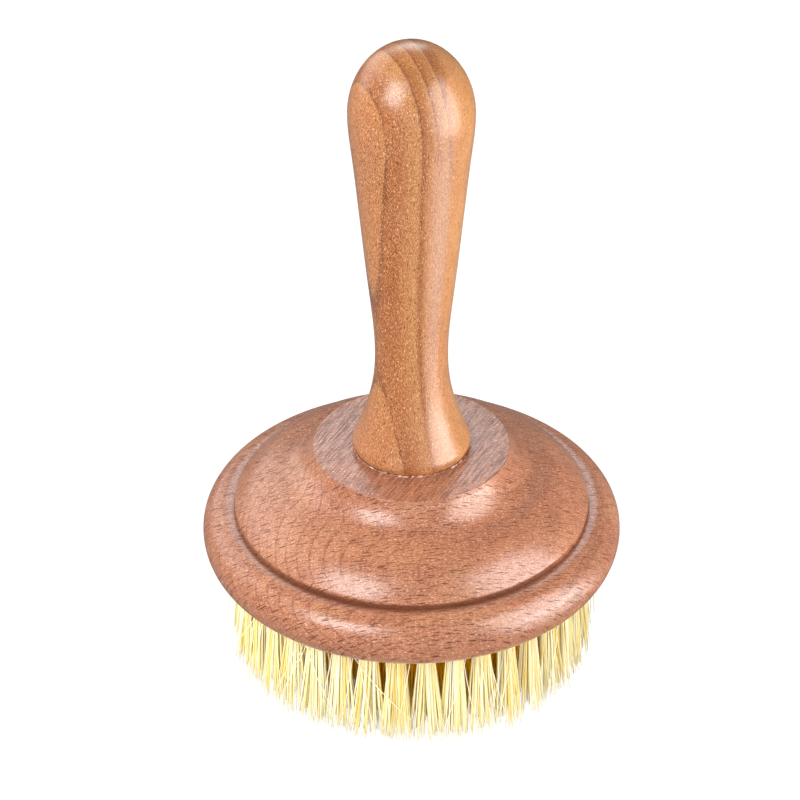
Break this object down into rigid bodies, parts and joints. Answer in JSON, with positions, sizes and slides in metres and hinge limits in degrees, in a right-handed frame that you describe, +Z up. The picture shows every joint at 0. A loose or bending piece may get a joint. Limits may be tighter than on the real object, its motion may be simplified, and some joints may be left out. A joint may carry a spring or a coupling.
{
  "type": "body dry brush",
  "caption": "Round wooden body brush with an upright turned handle on a moulded disc head, set with a ring-patterned field of stiff plant-fibre tufts.",
  "frame": {"origin": "centre of the bristle field in the plane of the tuft tips, which the brush stands on", "axes": "+Z up the turning axis, from the tuft tips to the knob of the handle; the brush is round, so +X and +Y are free"},
  "size_m": [0.11, 0.11, 0.1774],
  "materials": {
    "beech": "steamed beech, pinkish brown with short dark pore dashes, semi-gloss lacquer",
    "cherry": "honey-orange fine-grained fruitwood, semi-gloss lacquer",
    "dowel_beech": "plain beech dowel, unfinished",
    "tampico": "cream to straw-yellow tampico fibre, dry, with a faint sheen"
  },
  "bodies": {
    "root": {"head": "beech", "handle": "cherry", "fluted_dowel": "dowel_beech", "outer_tuft_01": "tampico", "outer_tuft_02": "tampico", "outer_tuft_03": "tampico", "outer_tuft_04": "tampico", "outer_tuft_05": "tampico", "outer_tuft_06": "tampico", "outer_tuft_07": "tampico", "outer_tuft_08": "tampico", "outer_tuft_09": "tampico", "outer_tuft_10": "tampico", "outer_tuft_11": "tampico", "outer_tuft_12": "tampico", "outer_tuft_13": "tampico", "outer_tuft_14": "tampico", "outer_tuft_15": "tampico", "outer_tuft_16": "tampico", "outer_tuft_17": "tampico", "outer_tuft_18": "tampico", "outer_tuft_19": "tampico", "outer_tuft_20": "tampico", "outer_tuft_21": "tampico", "outer_tuft_22": "tampico", "outer_tuft_23": "tampico", "outer_tuft_24": "tampico", "outer_tuft_25": "tampico", "outer_tuft_26": "tampico", "outer_tuft_27": "tampico", "outer_tuft_28": "tampico", "outer_tuft_29": "tampico", "outer_tuft_30": "tampico", "outer_tuft_31": "tampico", "outer_tuft_32": "tampico", "outer_tuft_33": "tampico", "outer_tuft_34": "tampico", "outer_tuft_35": "tampico", "outer_tuft_36": "tampico", "outer_tuft_37": "tampico", "outer_tuft_38": "tampico", "tuft_row_2": "tampico", "tuft_row_3": "tampico", "tuft_row_4": "tampico", "tuft_row_5": "tampico", "tuft_row_6": "tampico", "centre_tuft": "tampico"}
  },
  "joints": []
}
